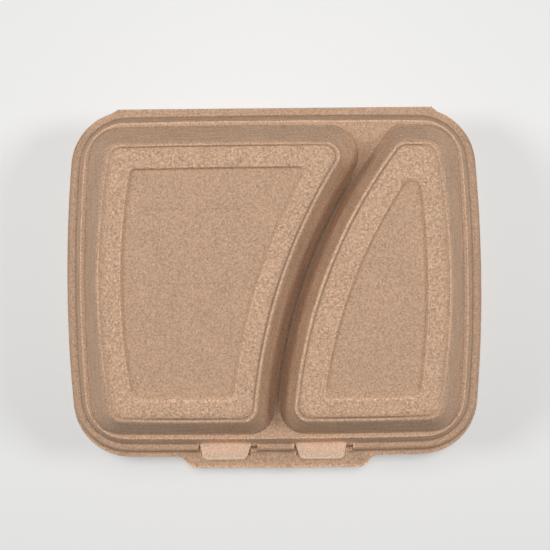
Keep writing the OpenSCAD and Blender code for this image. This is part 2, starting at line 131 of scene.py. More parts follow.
def corner_middle(a, b, r, hint):
    """Middle of the circle of radius r that touches the sides a and b near a hint."""
    p, q, ra, rb = a[0], b[0], a[1] - a[2] * r, b[1] - b[2] * r
    d = np.linalg.norm(q - p)
    along = (d * d + ra * ra - rb * rb) / (2 * d)
    off = math.sqrt(max(0.0, ra * ra - along * along))
    u = (q - p) / d
    found = [p + along * u + k * off * np.array([-u[1], u[0]]) for k in (-1, 1)]
    return min(found, key=lambda c: np.linalg.norm(c - np.array(hint)))


def foot_on(side, p):
    return side[0] + side[1] * unit(p - side[0])


def arc(c, p, q, parts):
    a = math.atan2(p[1] - c[1], p[0] - c[0])
    sweep = (math.atan2(q[1] - c[1], q[0] - c[0]) - a + math.pi) % (2 * math.pi) - math.pi
    at = a + np.array(parts) * sweep
    return c + np.linalg.norm(p - c) * np.stack([np.cos(at), np.sin(at)], axis=1)


def side_points(side, start, end, steps):
    return arc(side[0], foot_on(side, start), foot_on(side, end), np.arange(1, steps) / steps)


def corner_points(a, b, middle, steps):
    return arc(middle, foot_on(a, middle), foot_on(b, middle), np.arange(steps + 1) / steps)


SIDE_STEPS, ROUND_STEPS = 34, 13


def outline(sides, r, hints):
    """Closed outline of four sides, front first. Two hinge corners may melt into a tip."""
    mids = [corner_middle(sides[i], sides[(i + 1) % 4], r[i], hints[i]) for i in range(4)]
    tip = mids[1][0] < mids[2][0] + 0.2
    peak = corner_middle(sides[1], sides[3], r[1], (np.array(hints[1]) + np.array(hints[2])) / 2)
    parts = [
        side_points(sides[0], mids[3], mids[0], SIDE_STEPS),
        corner_points(sides[0], sides[1], mids[0], ROUND_STEPS),
        side_points(sides[1], mids[0], peak if tip else mids[1], SIDE_STEPS),
    ]
    if tip:
        n = 2 * ROUND_STEPS + SIDE_STEPS
        parts.append(arc(peak, foot_on(sides[1], peak), foot_on(sides[3], peak), np.arange(n + 1) / n))
    else:
        parts.append(corner_points(sides[1], sides[2], mids[1], ROUND_STEPS))
        parts.append(side_points(sides[2], mids[1], mids[2], SIDE_STEPS))
        parts.append(corner_points(sides[2], sides[3], mids[2], ROUND_STEPS))
    parts.append(side_points(sides[3], peak if tip else mids[2], mids[3], SIDE_STEPS))
    parts.append(corner_points(sides[3], sides[0], mids[3], ROUND_STEPS))
    return np.concatenate(parts)


print("points round a compartment:", 4 * (SIDE_STEPS - 1) + 4 * (ROUND_STEPS + 1))

# %% [markdown]
# The rim is the line that fingers meet first: two bowed sides, two nearly straight
# ends, a finger lip in front and a flat strip along the fold. Its points along the
# front stand at set places, so that the latch slots get true ends.

# %% The rim in plan
HINTS = [(HALF_W, -FRONT), (HALF_W, BACK), (-HALF_W, BACK), (-HALF_W, -FRONT)]


def stops(marks, low, high, gap):
    """Sorted places with every mark among them and none further apart than gap."""
    marks = sorted(set([low, high, *marks]))
    out = []
    for a, b in zip(marks, marks[1:]):
        n = max(1, math.ceil((b - a) / gap))
        out += [mix(a, b, i / n) for i in range(n)]
    return out + [high]


slot_ends = [s * SLOT_X + e * SLOT_W / 2 for s in (-1, 1) for e in (-1, 1)]
relief_ends = [x + e * RELIEF for x in TONGUE_X for e in (-1, 1)]
FRONT_STOPS = np.array(stops(slot_ends + relief_ends + [0], -78, 78, 1.7))
HINGE_STOPS = np.array(stops([0, VALLEY_TOP], -78, 78, 3.2))[::-1]
FRONT_SPLIT = int(np.argmin(abs(FRONT_STOPS)))
RIM_CORNER, RIM_SIDE = 22, 34


def rim_outline(front, side, hinge_d, r):
    sides = [
        front_side(FRONT - front), right_side(HALF_W - side, SIDE_BOW - side),
        hinge_side(BACK - hinge_d), left_side(HALF_W - side, SIDE_BOW - side),
    ]
    mids = [corner_middle(sides[i], sides[(i + 1) % 4], r, HINTS[i]) for i in range(4)]
    front_y = sides[0][0][1] - np.sqrt(END_BOW ** 2 - FRONT_STOPS ** 2)
    hinge_y = sides[2][0][1] + np.sqrt(END_BOW ** 2 - HINGE_STOPS ** 2)
    return np.concatenate([
        np.stack([FRONT_STOPS, front_y], axis=1),
        corner_points(sides[0], sides[1], mids[0], RIM_CORNER),
        side_points(sides[1], mids[0], mids[1], RIM_SIDE),
        corner_points(sides[1], sides[2], mids[1], RIM_CORNER),
        np.stack([HINGE_STOPS, hinge_y], axis=1),
        corner_points(sides[2], sides[3], mids[2], RIM_CORNER),
        side_points(sides[3], mids[2], mids[3], RIM_SIDE),
        corner_points(sides[3], sides[0], mids[3], RIM_CORNER),
    ])


EDGE = rim_outline(0, 0, STRIP, CORNER)
RIM_N = len(EDGE)
HINGE_SPLIT = len(FRONT_STOPS) + 2 * (RIM_CORNER + 1) + RIM_SIDE - 1 + int(
    np.argmin(abs(HINGE_STOPS - VALLEY_TOP)))
print("points round the rim:", RIM_N)

# %% [markdown]
# A section is a short list of points: distance inwards and height. A mould never has
# a sharp corner, and neither has the sheet, so each section is rounded by cutting its
# corners twice. The second face of the sheet is the same section moved one thickness
# at right angles, which keeps the wall even, as a formed sheet is.

# %% Sections of the rim and the compartments
def beaded(flange):
    z, w, top = FLANGE_Z, BEAD_W, PLATEAU
    bead = [(0.18, 0.55), (0.45, 0.9), (0.76, 0.99)]
    step = [(0.16, 0.1), (0.85, 0.93), (1, 1)]
    return np.array(
        [[0, z], [min(0.2, flange / 2), z], [flange, z]]
        + [[flange + a * w, mix(z, BEAD_H, b)] for a, b in bead] + [[flange + w, BEAD_H]]
        + [[flange + w + a * STEP, mix(BEAD_H, top, b)] for a, b in step]
        + [[flange + w + STEP + 0.7, top]])


def flat_flange():
    z, w = FLANGE_Z, FLANGE_HINGE
    return np.array(
        [[mix(STRIP, w, f), z] for f in (0, 0.12, 0.26, 0.4, 0.54, 0.68, 0.85)]
        + [[w, mix(z, PLATEAU, 0.06)], [w + 0.85 * STEP, mix(z, PLATEAU, 0.94)]]
        + [[w + STEP, PLATEAU], [w + STEP + 0.7, PLATEAU]])


def compartment_section(run, top, ledge, crown, steep, foot_run=0.8, lip_run=1.6, ring=RING, belly=0.0):
    """From the plateau down or up the wall to the ledge, over the ring, to the sunk panel."""
    (a, za), (b, zb) = steep
    panel = crown - SUNK if crown > ledge else crown + SUNK
    foot, lip = run + LEDGE, run + ring - lip_run / 2
    return np.array([
        [-0.7, top], [0, top], [a * run, mix(top, ledge, za)], [0.5 * run, mix(top, ledge, 0.5 + belly)],
        [b * run, mix(top, ledge, zb)], [run, ledge], [foot, ledge],
        [foot + foot_run, mix(ledge, crown, 0.6)], [foot + foot_run + 1.5, mix(ledge, crown, 0.92)],
        [foot + foot_run + 3.1, crown], [lip - 0.6, crown],
        [lip + 0.2 * lip_run, mix(crown, panel, 0.3)], [lip + lip_run, panel], [lip + lip_run + 1, panel]])


def shifted(s, t, sense=1):
    """The section of the sheet's other face."""
    out = []
    for i in range(len(s)):
        a = unit(s[i] - s[i - 1]) if i else np.array([1.0, 0])
        b = unit(s[i + 1] - s[i]) if i < len(s) - 1 else np.array([1.0, 0])
        p = s[i] + t * sense * np.array([a[1] + b[1], -a[0] - b[0]]) / (1 + a @ b)
        if out:
            p[0] = max(p[0], out[-1][0] + 0.12)
        out.append(p)
    return np.array(out)


def rounded(s, times=2):
    """Cuts the corners of a section, the ends stay."""
    for _ in range(times):
        cut = np.stack([mix(s[:-1], s[1:], 0.25), mix(s[:-1], s[1:], 0.75)], axis=1).reshape(-1, s.shape[1])
        s = np.concatenate([s[:1], cut[1:-1], s[-1:]])
    return s


print("rows in the rim's section:", len(rounded(beaded(FLANGE_FRONT))))
one_wall = compartment_section(11, 12, 32, 34, ((0.1, 0.08), (0.94, 0.96)))
print("rows in a compartment's section:", len(rounded(one_wall)))

# %% [markdown]
# One face of the rim is a grid: a row for each point of the section, a column for
# each point of the outline. Near the fold the bead fades into a flat flange, so the
# two sections are mixed there. The first rows turn round the cut edge of the sheet,
# which is soft foam and never sharp.

# %% Rows of the rim
LIP_REACH = np.where(EDGE[:, 1] < 0, LIP * (1 - ramp(abs(EDGE[:, 0] - LIP_SHIFT), LIP_HALF, LIP_HALF + LIP_END)), 0)
STRIP_HALF = HALF_W - CORNER - 3 + CORNER * math.sin(math.radians(18.5))
STRIP_REACH = np.where(
    EDGE[:, 1] > 0.9 * BACK,
    (BACK - FOLD_ROOM - EDGE[:, 1]) * (1 - ramp(abs(EDGE[:, 0] - 1.1), STRIP_HALF - 3.3, STRIP_HALF - 1.1)), 0)
NEAR_HINGE = ramp(EDGE[:, 1], 0.6 * BACK, 0.96 * BACK)


def rim_rows(t, upper):
    """Rows of one face, t below the upper one. Returns points and each row's reach."""
    kinds = [rounded(shifted(k, t)) for k in (beaded(FLANGE_FRONT), beaded(FLANGE_SIDE), flat_flange())]
    z = kinds[0][0][1]
    way = -1 if upper else 1
    edge = [(0, z + way * SHEET / 2, 1), (0, z + way * 0.45, 1), (0.08, z + way * 0.16, 1), (0.25, z, 1),
            (0.27, z, 0.7), (0.29, z, 0.35), (0.31, z, 0)]
    rows = []
    for d, height, reach in edge:
        ring = rim_outline(d, d, STRIP + d, CORNER - d)
        ring = ring + np.stack([0 * LIP_REACH, (STRIP_REACH - LIP_REACH) * reach], axis=1)
        rows.append(np.column_stack([ring, np.full(RIM_N, height)]))
    top = kinds[0][-1][1]
    for k in range(1, len(kinds[0])):
        least = 0.31 + 0.02 * k
        d = [max(least, kinds[0][k][0]), max(least, kinds[1][k][0]), max(STRIP + least, kinds[2][k][0])]
        ring = rim_outline(*d, CORNER - min(d[0], d[1]))
        height = np.minimum(top, mix(kinds[0][k][1], kinds[2][k][1], NEAR_HINGE))
        rows.append(np.column_stack([ring, height]))
    depth = [e[0] for e in edge] + [max(0.33, p[0]) for p in kinds[0][1:]]
    return rows, np.array(depth)


print("rows in one face of the rim:", len(rim_rows(0, True)[0]))

# %% [markdown]
# Each half holds two compartments, one on either side of a valley that curves across
# the box. A compartment is a stack of outlines, one for each row of the section: they
# shrink towards the panel, and their corners tighten on the way up the wall, because
# the sheet is drawn thinnest and tightest at the end of the mould's stroke.

# %% Rows of a compartment
def compartment_rows(small, plateau, half, sections):
    """Rows of one face. Each section is [distance, height, progress up the wall]."""
    foot_front = FRONT - FLANGE_FRONT - BEAD_W - STEP - plateau
    foot_side = HALF_W - FLANGE_SIDE - BEAD_W - STEP - plateau
    foot_back = BACK - FLANGE_HINGE - STEP - plateau
    rows, up = [], []
    for front, side, back, valley in zip(*sections):
        p = front[2]
        up.append(p)
        bow = mix(SIDE_BOW, 400, min(1, max(0, p)))
        tight = mix(7, 4.5, min(1, max(0, p - 1)))
        r = mix(15, 7, max(0, p)) if p < 1 else tight
        outer = mix(17.5, 7, max(0, p)) if p < 1 else tight
        top = outer if p < 1 else mix(7, 2.2, min(1, p - 1))
        ends = front_side(foot_front - front[0]), hinge_side(foot_back - back[0])
        curve = (VALLEY, VALLEY_R + (-1 if small else 1) * (half + valley[0]), 1 if small else -1)
        if small:
            ring = outline([ends[0], right_side(foot_side - side[0], bow), ends[1], curve],
                           [outer, outer, min(r, 9), r],
                           [HINTS[0], HINTS[1], (VALLEY_TOP, BACK), (0, -FRONT)])
        else:
            bow = mix(bow, 330, ramp(p, 1.3, 1.7))
            ring = outline([ends[0], curve, ends[1], left_side(foot_side - side[0], bow)],
                           [r, top, top, outer], [(0, -FRONT), (VALLEY_TOP, BACK), HINTS[2], HINTS[3]])
        rows.append(np.column_stack([ring, np.full(len(ring), front[1])]))
    middle = rows[-1].mean(axis=0)
    rows += [mix(rows[-1], middle, f) for f in (0.05, 0.14, 0.26, 0.4, 0.55, 0.7, 0.85)]
    return rows, middle, np.array(up + [2.2] * 7)


def with_progress(section):
    k = np.arange(len(section)) - 1
    return np.column_stack([section, np.where(k < 5, k / 4, 1 + (k - 4) / 7)])


def sections_of(runs, top, ledge, crown, steep, t, sense):
    """Front, side, hinge and valley, and last the valley side of the small compartment."""
    out = []
    rings = (RING,) * 4 + (RING + runs[3] - runs[4],)
    for run, foot_run, lip_run, ring, belly in zip(runs, FOOT_RUNS, PANEL_LIP_RUNS, rings, BELLIES):
        s = compartment_section(run, top, ledge, crown, steep, foot_run, lip_run, ring, belly)
        out.append(rounded(with_progress(shifted(s, t, sense) if t else s)))
    return out


FOOT_RUNS = (0.8, 1.6, 0.5, 0.9, 0.9)
PANEL_LIP_RUNS = (2.9, 1.3, 0.9, 2.6, 1.3)
BELLIES = (0, 0, 0, 0.05, 0.06)
LID_RUNS = (10.9, 11.6, 13.2, 10.2, 8.0)
BASE_RUNS = tuple(r + 1.5 for r in LID_RUNS)
LID_FORM = (PLATEAU, LID_H - RISE, LID_H - RELIEF_ROOM, ((0.1, 0.08), (0.89, 0.94)))
BASE_FORM = (PLATEAU - 2 * SHEET - GAP, RISE - BASE_H, RELIEF_ROOM - BASE_H, ((0.06, 0.04), (0.92, 0.96)))

# %% [markdown]
# The flat land between the rim and the two compartments has no rows of its own. It is
# filled by walking round both edges at once and always joining the nearer next point,
# first on one side of the valley's middle line and then on the other.

# %% Fill the flat land
def stitched(points, a, b):
    """Triangles between two open chains of point numbers."""
    faces, i, j = [], 0, 0
    while i < len(a) - 1 or j < len(b) - 1:
        go_a = j == len(b) - 1 or (i < len(a) - 1 and (
            np.linalg.norm(points[a[i + 1]] - points[b[j]]) < np.linalg.norm(points[a[i]] - points[b[j + 1]])))
        if go_a:
            faces.append((a[i], a[i + 1], b[j]))
            i += 1
        else:
            faces.append((a[i], b[j + 1], b[j]))
            j += 1
    return faces


def land(points, rim, large, small, line):
    """Both cells of the flat land: rim, large, small and line are chains of point numbers."""
    def opened(ring, near):
        d = [np.linalg.norm(points[i][:2] - points[near][:2]) for i in ring]
        n = int(np.argmin(d))
        return ring[n:] + ring[:n + 1]
    right = rim[FRONT_SPLIT:HINGE_SPLIT + 1] + line[::-1] + [rim[FRONT_SPLIT]]
    left = rim[HINGE_SPLIT:] + rim[:FRONT_SPLIT + 1] + line + [rim[HINGE_SPLIT]]
    return (stitched(points, right, opened(small, rim[FRONT_SPLIT]))
            + stitched(points, left, opened(large, rim[HINGE_SPLIT])))


# %% [markdown]
# Now one whole face of the shell. It could be cut out of a solid block, but cutting
# leaves thin walls and broken shading; stacking rows gives even quads that follow
# the form. The map "sheet" runs along the edge in u and up the section in v, so that
# stretch marks can follow the walls later.

# %% One face of a shell
GROOVE, GROOVE_W = 1.7, 1.35


def in_groove(points):
    """One in the middle of the valley, falling off to both walls and both ends."""
    off = abs(np.linalg.norm(points[:, :2] - VALLEY, axis=1) - VALLEY_R)
    along = ramp(points[:, 1], -88, -62) * (1 - ramp(points[:, 1], 52, 74))
    return along * np.exp(-(off / GROOVE_W) ** 2)


def grooved(points):
    """Sinks the middle of the valley into a soft crease that fades out at both ends."""
    return points - np.array([0, 0, 1]) * (GROOVE * in_groove(points))[:, None]


def face_grid(rim, plateau, half, sections):
    rows, depth = rim
    large, large_mid, large_up = compartment_rows(False, plateau, half, sections[:4])
    small, small_mid, small_up = compartment_rows(True, plateau, half, sections[:3] + sections[4:])
    line = arc(VALLEY, rows[-1][FRONT_SPLIT][:2], rows[-1][HINGE_SPLIT][:2], np.arange(1, 36) / 36)
    line = np.column_stack([line, np.full(len(line), rows[-1][0][2])])
    n = len(large[0])
    points = np.concatenate([*rows, *large, *small, line, [large_mid, small_mid]])
    up = np.concatenate([np.full(RIM_N * len(rows), -1.0), np.repeat(large_up, n), np.repeat(small_up, n),
                         np.full(len(line), 0.0), [2.2, 2.2]])
    at_large = RIM_N * len(rows)
    at_small = at_large + n * len(large)
    at_line = at_small + n * len(small)
    faces, uvs = [], []

    def grid(start, count, ring_n, z_rows, keep=None):
        """Quads between neighbouring rows, with u along the edge and v up the section."""
        along = np.linalg.norm(np.roll(z_rows[0], -1, axis=0)[:, :2] - z_rows[0][:, :2], axis=1)
        u = np.concatenate([[0], np.cumsum(along)]) * MM
        up = [np.linalg.norm(z_rows[k + 1][ring_n // 8] - z_rows[k][ring_n // 8]) for k in range(count - 1)]
        v = np.concatenate([[0], np.cumsum(up)]) * MM
        for k in range(count - 1):
            for i in range(ring_n):
                if keep is not None and not keep[k][i]:
                    continue
                j = (i + 1) % ring_n
                a = start + ring_n * k
                faces.append((a + i, a + j, a + ring_n + j, a + ring_n + i))
                uvs.append(((u[i], v[k]), (u[i + 1], v[k]), (u[i + 1], v[k + 1]), (u[i], v[k + 1])))

    return dict(points=grooved(points), up=up, rows=rows, depth=depth, large=large, small=small, n=n,
                grid=grid, faces=faces, uvs=uvs, at_large=at_large, at_small=at_small, at_line=at_line,
                line=len(line))


def fill_face(f, keep):
    """Adds the faces of one sheet face, seen from above, and returns them with their map."""
    f["grid"](0, len(f["rows"]), RIM_N, f["rows"], keep)
    f["grid"](f["at_large"], len(f["large"]), f["n"], f["large"])
    f["grid"](f["at_small"], len(f["small"]), f["n"], f["small"])
    n, points, faces, uvs = f["n"], f["points"], f["faces"], f["uvs"]
    middles = len(points) - 2
    flat = land(points, [RIM_N * (len(f["rows"]) - 1) + i for i in range(RIM_N)],
                [f["at_large"] + i for i in range(n)], [f["at_small"] + i for i in range(n)],
                [f["at_line"] + i for i in range(f["line"])])
    for at, rows, mid in ((f["at_large"], f["large"], middles), (f["at_small"], f["small"], middles + 1)):
        last = at + n * (len(rows) - 1)
        flat += [(last + i, last + (i + 1) % n, mid) for i in range(n)]
    for tri in flat:
        faces.append(tri)
        uvs.append(tuple((points[i][0] * MM, points[i][1] * MM) for i in tri))
    return faces, uvs


# %% [markdown]
# The two faces become one closed shell. Where the rim has a slot its cells are left
# out, and short walls of the sheet's thickness join the faces there. The slots are
# punched after forming, so their edges stay crisp while the outer edge is soft.

# %% Close the shell
def slot_cells(depth):
    """True where the lid's rim is sheet, False in the two slots and the relief before each."""
    x = (EDGE[:, 0] + np.roll(EDGE[:, 0], -1)) / 2
    front = (EDGE[:, 1] < 0) & (np.roll(EDGE[:, 1], -1) < 0)
    in_slot = front & (abs(abs(x) - SLOT_X) < SLOT_W / 2)
    in_relief = front & (np.min([abs(x - t) for t in TONGUE_X], axis=0) < RELIEF)
    keep = []
    for a, b in zip(depth, depth[1:]):
        d = (a + b) / 2
        cut = in_slot if 3.0 < d < 8.9 else in_relief if 0.6 < d <= 3.0 else np.zeros(RIM_N, bool)
        keep.append(~cut)
    return keep


def shell(name, upper, lower, slotted):
    keep = slot_cells(upper["depth"]) if slotted else None
    faces, uvs = fill_face(upper, keep)
    under, under_uvs = fill_face(lower, keep)
    n = len(upper["points"])
    faces = faces + [tuple(i + n for i in reversed(f)) for f in under]
    uvs = uvs + [tuple(reversed(u)) for u in under_uvs]

    def wall(a, b):
        faces.append((b, a, a + n, b + n))
        p = upper["points"]
        uvs.append(tuple((p[i][0] * MM, p[i][1] * MM + s) for i, s in ((b, 0), (a, 0), (a, 0.002), (b, 0.002))))

    if slotted:
        for k, row in enumerate(keep):
            for i in range(RIM_N):
                if not row[i]:
                    continue
                j, a = (i + 1) % RIM_N, RIM_N * k
                b = a + RIM_N
                if k and not keep[k - 1][i]:
                    wall(a + i, a + j)
                if k < len(keep) - 1 and not keep[k + 1][i]:
                    wall(b + j, b + i)
                if not row[i - 1]:
                    wall(b + i, a + i)
                if not row[j]:
                    wall(a + j, b + j)
    points = np.concatenate([upper["points"], lower["points"]])
    return name, points, faces, uvs, np.concatenate([upper["up"], lower["up"]])


def mesh_of(name, points, faces, uvs=None, up=None):
    """A mesh in metres in the row frame, from points in millimetres about the rim."""
    place = (np.asarray(points) + [0, MIDDLE_Y, PARTING]) * MM
    mesh = bpy.data.meshes.new(name)
    mesh.from_pydata(place.tolist(), [], faces)
    if uvs is not None:
        layer = mesh.uv_layers.new(name="sheet")
        layer.data.foreach_set("uv", np.array([c for f in uvs for c in f], np.float32).ravel())
    if up is not None:
        mesh.attributes.new("up", "FLOAT", "POINT").data.foreach_set("value", up.astype(np.float32))
    piece = bpy.data.objects.new(name, mesh)
    bpy.context.scene.collection.objects.link(piece)
    return piece


lid_upper = face_grid(rim_rows(0, True), 2.4, 1.5, sections_of(LID_RUNS, *LID_FORM, 0, 1))
lid_lower = face_grid(rim_rows(SHEET, False), 2.4, 1.5, sections_of(LID_RUNS, *LID_FORM, SHEET, 1))
base_upper = face_grid(rim_rows(SHEET + GAP, True), 4.2, 1.2, sections_of(BASE_RUNS, *BASE_FORM, SHEET, -1))
base_lower = face_grid(rim_rows(2 * SHEET + GAP, False), 4.2, 1.2, sections_of(BASE_RUNS, *BASE_FORM, 0, 1))
lid_shell = shell("lid_foam", lid_upper, lid_lower, True)
base_shell = shell("base_foam", base_upper, base_lower, False)
print("points in the lid:", len(lid_shell[1]), "in the base:", len(base_shell[1]))

# %% [markdown]
# A finish needs to know where it is on the form: walls are stretched and streaky, the
# crests where the sheet turns get a painted highlight and its creases painted shade, and the standing rings are
# crinkled.
# These places could be painted by hand; here they are numbers on the points, worked
# out from the height and the slope of the sheet.

# %% Make the two shells as meshes
def smooth(piece, angle=38):
    piece.data.polygons.foreach_set("use_smooth", [True] * len(piece.data.polygons))
    piece.data.set_sharp_from_angle(angle=math.radians(angle))


def weld(piece, gap=2e-6):
    """Merges points that lie on each other and drops faces that this leaves flat."""
    bm = bmesh.new()
    bm.from_mesh(piece.data)
    bmesh.ops.remove_doubles(bm, verts=bm.verts, dist=gap)
    bmesh.ops.dissolve_degenerate(bm, dist=1e-7, edges=bm.edges)
    bm.to_mesh(piece.data)
    bm.free()


def bend_of(co, normal, edges):
    """How strongly the sheet turns at each point, in 1/m: above zero on a crest."""
    a, b = edges[:, 0], edges[:, 1]
    step = co[b] - co[a]
    length = np.maximum((step ** 2).sum(axis=1), 1e-8)
    bend = np.zeros(len(co))
    np.add.at(bend, a, -(normal[a] * step).sum(axis=1) / length)
    np.add.at(bend, b, (normal[b] * step).sum(axis=1) / length)
    return bend / np.maximum(np.bincount(edges.ravel(), minlength=len(co)), 1)


def mark_places(piece):
    """Writes the masks that the foam material reads. Up is 0 to 1 on a wall, 2 at the panel."""
    mesh = piece.data
    n = len(mesh.vertices)
    co, normal = np.empty(n * 3, np.float32), np.empty(n * 3, np.float32)
    mesh.vertices.foreach_get("co", co)
    mesh.vertex_normals.foreach_get("vector", normal)
    co, normal = co.reshape(-1, 3), normal.reshape(-1, 3)
    edges = np.empty(len(mesh.edges) * 2, np.int32)
    mesh.edges.foreach_get("vertices", edges)
    bend = bend_of(co, normal, edges.reshape(-1, 2))
    up = np.full(n, -1, np.float32)
    if "up" in mesh.attributes:
        mesh.attributes["up"].data.foreach_get("value", up)
    wall = ramp(1 - abs(normal[:, 2]), 0.12, 0.4) * (up < 1.05)
    ring = ramp(up, 1.12, 1.3) * (1 - ramp(up, 1.75, 1.9))
    deep = in_groove(co / MM - [0, MIDDLE_Y, PARTING]) * (up > -0.5)
    # Painted highlight along the crests and painted shade in the creases, both from the bend of the mesh
    crest = ramp(bend, 40, 190) * np.select([up < 1.1, up < 1.66], [1.0, 0.15], 0.6)
    crease = ramp(-bend, 40, 190) * np.select([up < -0.5, up < 1.05, up < 1.6], [0.75, 0.6, 1.0], 0.1)
    x, y = co[:, 0] / MM, co[:, 1] / MM - MIDDLE_Y
    # The corners beside the finger lip are softer, so their painted highlight and painted shade are weaker; a
    # painted highlight runs along the panel's front lip, and painted shade fills the valley's groove
    crisp = np.where(up > 0.5, 0.3 + 0.7 * ramp(np.hypot(abs(x) - 90, y + 74), 10, 26), 1)
    crest = np.maximum(crest * crisp, 0.8 * (up > 1.72) * (up < 2.02) * ramp(-y, 60, 66))
    crease = np.maximum(crease * crisp, 1.4 * deep)
    masks = {"wall": wall, "ring": ring, "crest": crest, "crease": crease}
    for name, values in masks.items():
        mesh.attributes.new(name, "FLOAT", "POINT").data.foreach_set("value", values.astype(np.float32))
    return n


lid_foam = mesh_of(*lid_shell)
base_foam = mesh_of(*base_shell)
for piece in (lid_foam, base_foam):
    weld(piece)
    smooth(piece)
    print(piece.name, "points", mark_places(piece), "faces", len(piece.data.polygons))

# %% [markdown]
# The foam is not quite flat anywhere: it shrinks as it cools and leaves shallow waves
# on the panels and finer crinkles on the rings. A bump map could fake them, but the
# light from the side shows them in outline too, so a small node tree moves the points
# along their normals by noise, and the result is kept as a plain mesh.

# %% Foam relief by Geometry Nodes
def new_tree(name, sizes):
    """An empty tree with a geometry socket at each end and a named input for each size."""
    tree = bpy.data.node_groups.new(name, "GeometryNodeTree")
    tree.interface.new_socket("Geometry", in_out="INPUT", socket_type="NodeSocketGeometry")
    for label, kind, value in sizes:
        tree.interface.new_socket(label, in_out="INPUT", socket_type=kind).default_value = value
    tree.interface.new_socket("Material", in_out="INPUT", socket_type="NodeSocketMaterial")
    tree.interface.new_socket("Geometry", in_out="OUTPUT", socket_type="NodeSocketGeometry")
    return tree, tree.nodes.new("NodeGroupInput"), tree.nodes.new("NodeGroupOutput")


def add(tree, kind, **settings):
    node = tree.nodes.new(kind)
    for key, value in settings.items():
        setattr(node, key, value)
    return node


def math_node(tree, operation, a, b, clamp=False):
    """A maths node. Each of a and b is a number or a socket."""
    node = add(tree, "ShaderNodeMath", operation=operation, use_clamp=clamp)
    for socket, value in zip(node.inputs, (a, b)):
        if isinstance(value, bpy.types.NodeSocket):
            tree.links.new(value, socket)
        else:
            socket.default_value = value
    return node.outputs[0]


def finish_tree(tree, source, start, out):
    """Every tree ends in Realize Instances and Set Material."""
    real = add(tree, "GeometryNodeRealizeInstances")
    paint = add(tree, "GeometryNodeSetMaterial")
    tree.links.new(source, real.inputs[0])
    tree.links.new(real.outputs[0], paint.inputs["Geometry"])
    tree.links.new(start.outputs["Material"], paint.inputs["Material"])
    tree.links.new(paint.outputs[0], out.inputs[0])


def wave(tree, start, size, height, seed, mask=None):
    """Noise of one size times its height, about zero, and a mask where one is named."""
    noise = add(tree, "ShaderNodeTexNoise", noise_dimensions="4D")
    noise.inputs["Detail"].default_value = 2.0
    tree.links.new(math_node(tree, "DIVIDE", 1.0, start.outputs[size]), noise.inputs["Scale"])
    tree.links.new(start.outputs[seed], noise.inputs["W"])
    centred = math_node(tree, "SUBTRACT", noise.outputs[0], 0.5)
    amount = math_node(tree, "MULTIPLY", centred, start.outputs[height])
    if mask is None:
        return amount
    place = add(tree, "GeometryNodeInputNamedAttribute", data_type="FLOAT")
    place.inputs["Name"].default_value = mask
    return math_node(tree, "MULTIPLY", amount, place.outputs["Attribute"])


def foam_relief_tree():
    tree, start, out = new_tree("foam_relief", [
        ("Wave size", "NodeSocketFloat", 0.03), ("Wave height", "NodeSocketFloat", 0.0004),
        ("Crinkle size", "NodeSocketFloat", 0.0045), ("Crinkle height", "NodeSocketFloat", 0.00042),
        ("Streak size", "NodeSocketFloat", 0.006), ("Streak height", "NodeSocketFloat", 0.0003),
        ("Seed", "NodeSocketFloat", 3.0),
    ])
    total = wave(tree, start, "Wave size", "Wave height", "Seed")
    for name, mask in (("Crinkle", "ring"), ("Streak", "wall")):
        total = math_node(tree, "ADD", total, wave(tree, start, name + " size", name + " height", "Seed", mask))
    normal = add(tree, "GeometryNodeInputNormal")
    along = add(tree, "ShaderNodeVectorMath", operation="SCALE")
    tree.links.new(normal.outputs[0], along.inputs[0])
    tree.links.new(total, along.inputs["Scale"])
    move = add(tree, "GeometryNodeSetPosition")
    tree.links.new(start.outputs["Geometry"], move.inputs["Geometry"])
    tree.links.new(along.outputs[0], move.inputs["Offset"])
    finish_tree(tree, move.outputs[0], start, out)
    return tree


def run_tree(piece, tree, material, **sizes):
    """Runs a tree on a piece, keeps its result as a plain mesh and takes the modifier off."""
    modifier = piece.modifiers.new(tree.name, "NODES")
    modifier.node_group = tree
    sockets = {s.name: s.identifier for s in tree.interface.items_tree if s.in_out == "INPUT"}
    modifier[sockets["Material"]] = material
    for name, value in sizes.items():
        modifier[sockets[name.replace("_", " ")]] = value
    made = piece.evaluated_get(bpy.context.evaluated_depsgraph_get())
    mesh = bpy.data.meshes.new_from_object(made, preserve_all_data_layers=True,
                                           depsgraph=bpy.context.evaluated_depsgraph_get())
    piece.modifiers.remove(modifier)
    piece.data = mesh
    return piece


foam_relief = foam_relief_tree()
print("inputs of the relief:", [s.name for s in foam_relief.interface.items_tree if s.in_out == "INPUT"])

# %% [markdown]
# The latch is two tongues that stand up from the bead of the base and lean forward
# through the slots of the lid. Each is cut from the same sheet, a little narrower at
# its tip, with round corners. A flat grid bent to the lean and given the sheet's
# thickness keeps the outline and the soft edge in hand.

# %% The latch tongues
def tongue(name, middle_x):
    length, r = 13.6, 3.0
    rows = [0, 0.12, 0.24, 0.36, 0.48, 0.6, 0.7, 0.78, 0.83, 0.88, 0.92, 0.95, 0.975, 0.99, 1.0]
    columns = np.linspace(-1, 1, 17)
    points = []
    for f in rows:
        up = max(0.0, f * length - (length - r))
        half = mix(15.0, 12.25, f) - (r - math.sqrt(max(0.0, r * r - up * up)))
        bend = 0.5 * math.sin(math.pi * f)
        for c in columns:
            points.append([middle_x + c * half, mix(-92.8, -99.35, f) - 0.2 * bend, mix(2.4, 14.3, f) + 0.1 * bend])
    n = len(columns)
    faces = [(k * n + i, k * n + i + 1, (k + 1) * n + i + 1, (k + 1) * n + i)
             for k in range(len(rows) - 1) for i in range(n - 1)]
    uvs = [tuple((points[i][0] * MM, points[i][2] * MM) for i in f) for f in faces]
    piece = mesh_of(name, points, faces, uvs)
    solid = piece.modifiers.new("sheet thickness", "SOLIDIFY")
    solid.thickness, solid.offset = 1.3 * MM, 0
    soft = piece.modifiers.new("soft edge", "BEVEL")
    soft.width, soft.segments, soft.limit_method, soft.angle_limit = 0.35 * MM, 3, "ANGLE", math.radians(50)
    return piece


